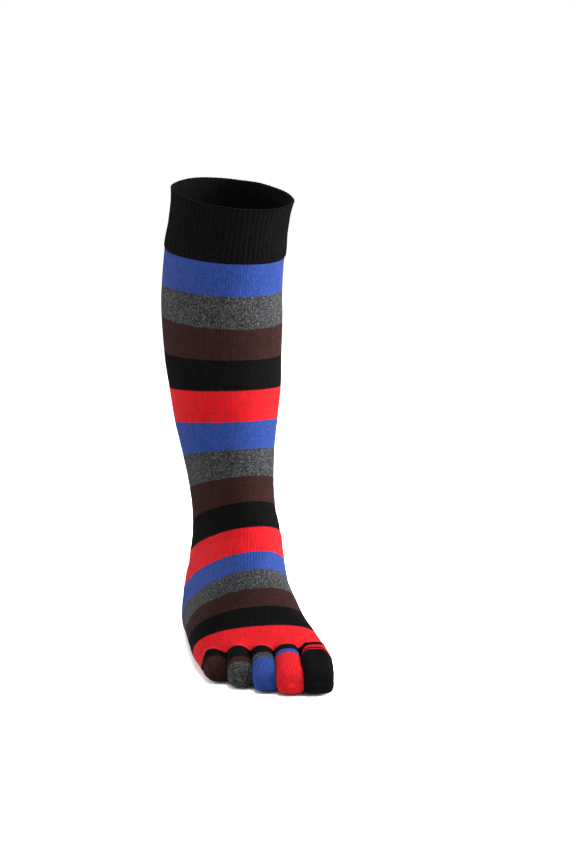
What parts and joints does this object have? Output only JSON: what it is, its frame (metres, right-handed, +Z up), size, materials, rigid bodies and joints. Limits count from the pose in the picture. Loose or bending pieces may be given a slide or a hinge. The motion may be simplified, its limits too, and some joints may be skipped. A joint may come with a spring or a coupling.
{
  "type": "knee-high toe sock",
  "caption": "Knee-high knitted sock for a right foot with a separate sleeve for each toe, in striped yarns under a ribbed black cuff.",
  "frame": {"origin": "on the plane of the sole, below the middle of the ankle, where the wearer's foot holds the sock up", "axes": "+Z up the leg, toes towards -Y, heel towards +Y, big toe on the +X side"},
  "size_m": [0.1036, 0.2421, 0.3579],
  "materials": {
    "black_rib": "fine ribbed cotton knit, matte",
    "black_knit": "plain cotton knit, matte with a faint fuzz",
    "blue_knit": "plain cotton knit, matte with a faint fuzz",
    "grey_knit": "heathered charcoal and pale grey cotton knit, matte",
    "brown_knit": "plain cotton knit, matte with a faint fuzz",
    "red_knit": "plain cotton knit, matte with a faint fuzz"
  },
  "bodies": {
    "root": {"cuff": "black_rib", "calf_band_blue": "blue_knit", "calf_band_grey": "grey_knit", "calf_band_brown": "brown_knit", "calf_band_black": "black_knit", "calf_band_red": "red_knit", "shin_band_blue": "blue_knit", "shin_band_grey": "grey_knit", "shin_band_brown": "brown_knit", "shin_band_black": "black_knit", "shin_band_red": "red_knit", "foot_band_blue": "blue_knit", "foot_band_grey": "grey_knit", "foot_band_brown": "brown_knit", "foot_band_black": "black_knit", "foot_band_red": "red_knit", "toe_base_band": "black_knit", "little_toe_tip": "brown_knit", "fourth_toe_ring": "brown_knit", "fourth_toe_tip": "grey_knit", "third_toe_ring": "grey_knit", "third_toe_tip": "blue_knit", "second_toe_ring": "blue_knit", "second_toe_tip": "red_knit", "big_toe_ring": "red_knit", "big_toe_tip": "black_knit"}
  },
  "joints": []
}
